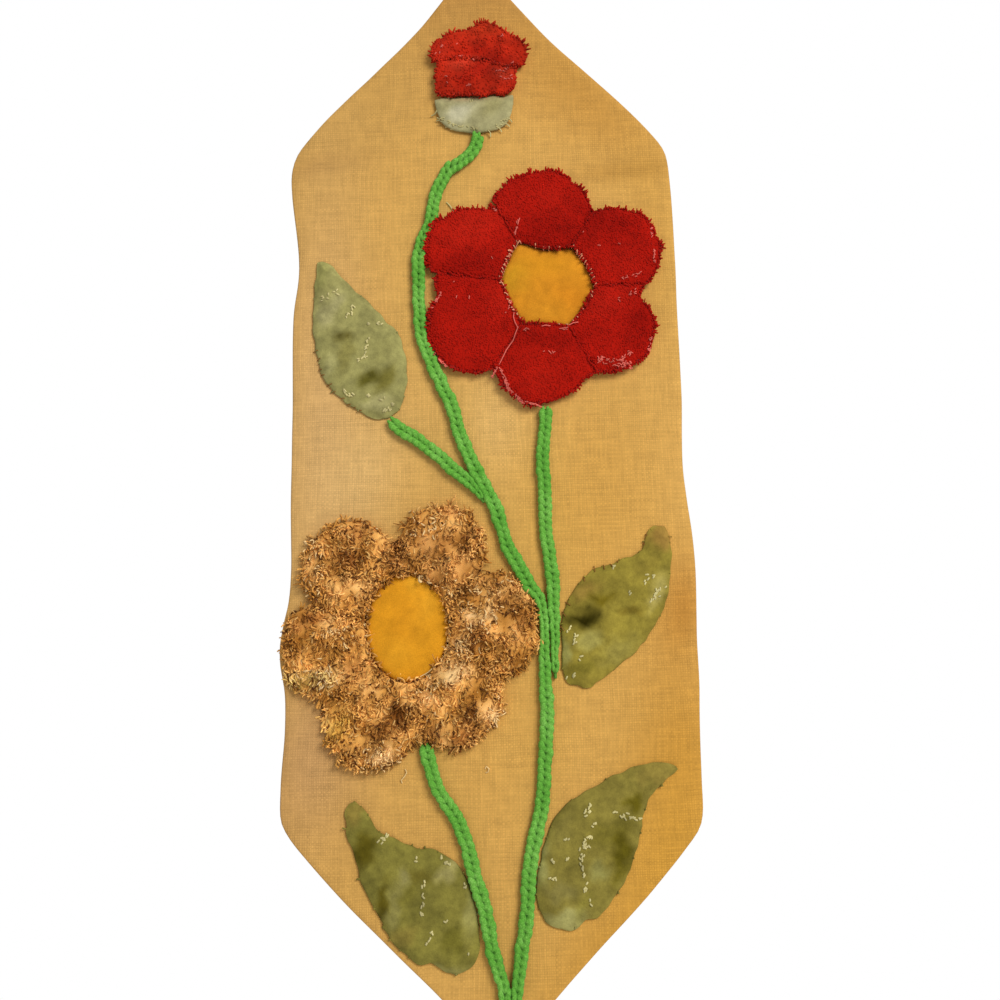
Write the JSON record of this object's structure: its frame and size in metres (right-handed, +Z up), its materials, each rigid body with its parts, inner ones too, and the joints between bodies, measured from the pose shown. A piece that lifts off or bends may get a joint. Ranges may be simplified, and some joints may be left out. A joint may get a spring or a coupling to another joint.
{
  "type": "latch hook and pile applique wall hanging",
  "caption": "Long wall hanging with pointed ends: mustard cloth carrying two six-petal pile flowers, a bud, pile leaves and knitted cord stems.",
  "frame": {"origin": "the top corner of the cloth, on its front, where the hanging is held", "axes": "+Z up along the hanging, +X to the right of someone who looks at it, -Y out of its front"},
  "size_m": [0.2726, 0.0173, 0.744],
  "materials": {
    "mustard_cloth": "matt plain weave of coarse yarn",
    "red_pile": "dense cut pile",
    "brown_pile": "curly mottled cut pile",
    "yellow_velvet": "short velvet",
    "sage_pile": "soft velvet pile, cream backing showing in places",
    "olive_pile": "soft velvet pile, cream backing showing in places",
    "green_cord": "knitted cord of smooth yarn"
  },
  "bodies": {
    "root": {"ground_cloth": "mustard_cloth", "red_petal_1": "red_pile", "red_petal_2": "red_pile", "red_petal_3": "red_pile", "red_petal_4": "red_pile", "red_petal_5": "red_pile", "red_petal_6": "red_pile", "red_flower_heart": "yellow_velvet", "brown_petal_1": "brown_pile", "brown_petal_2": "brown_pile", "brown_petal_3": "brown_pile", "brown_petal_4": "brown_pile", "brown_petal_5": "brown_pile", "brown_petal_6": "brown_pile", "brown_flower_heart": "yellow_velvet", "bud_upper": "red_pile", "bud_lower": "red_pile", "bud_calyx": "sage_pile", "leaf_1": "sage_pile", "leaf_2": "olive_pile", "leaf_3": "olive_pile", "leaf_4": "olive_pile", "stem_bud": "green_cord", "stem_red": "green_cord", "stem_leaf": "green_cord", "stem_brown": "green_cord"}
  },
  "joints": []
}
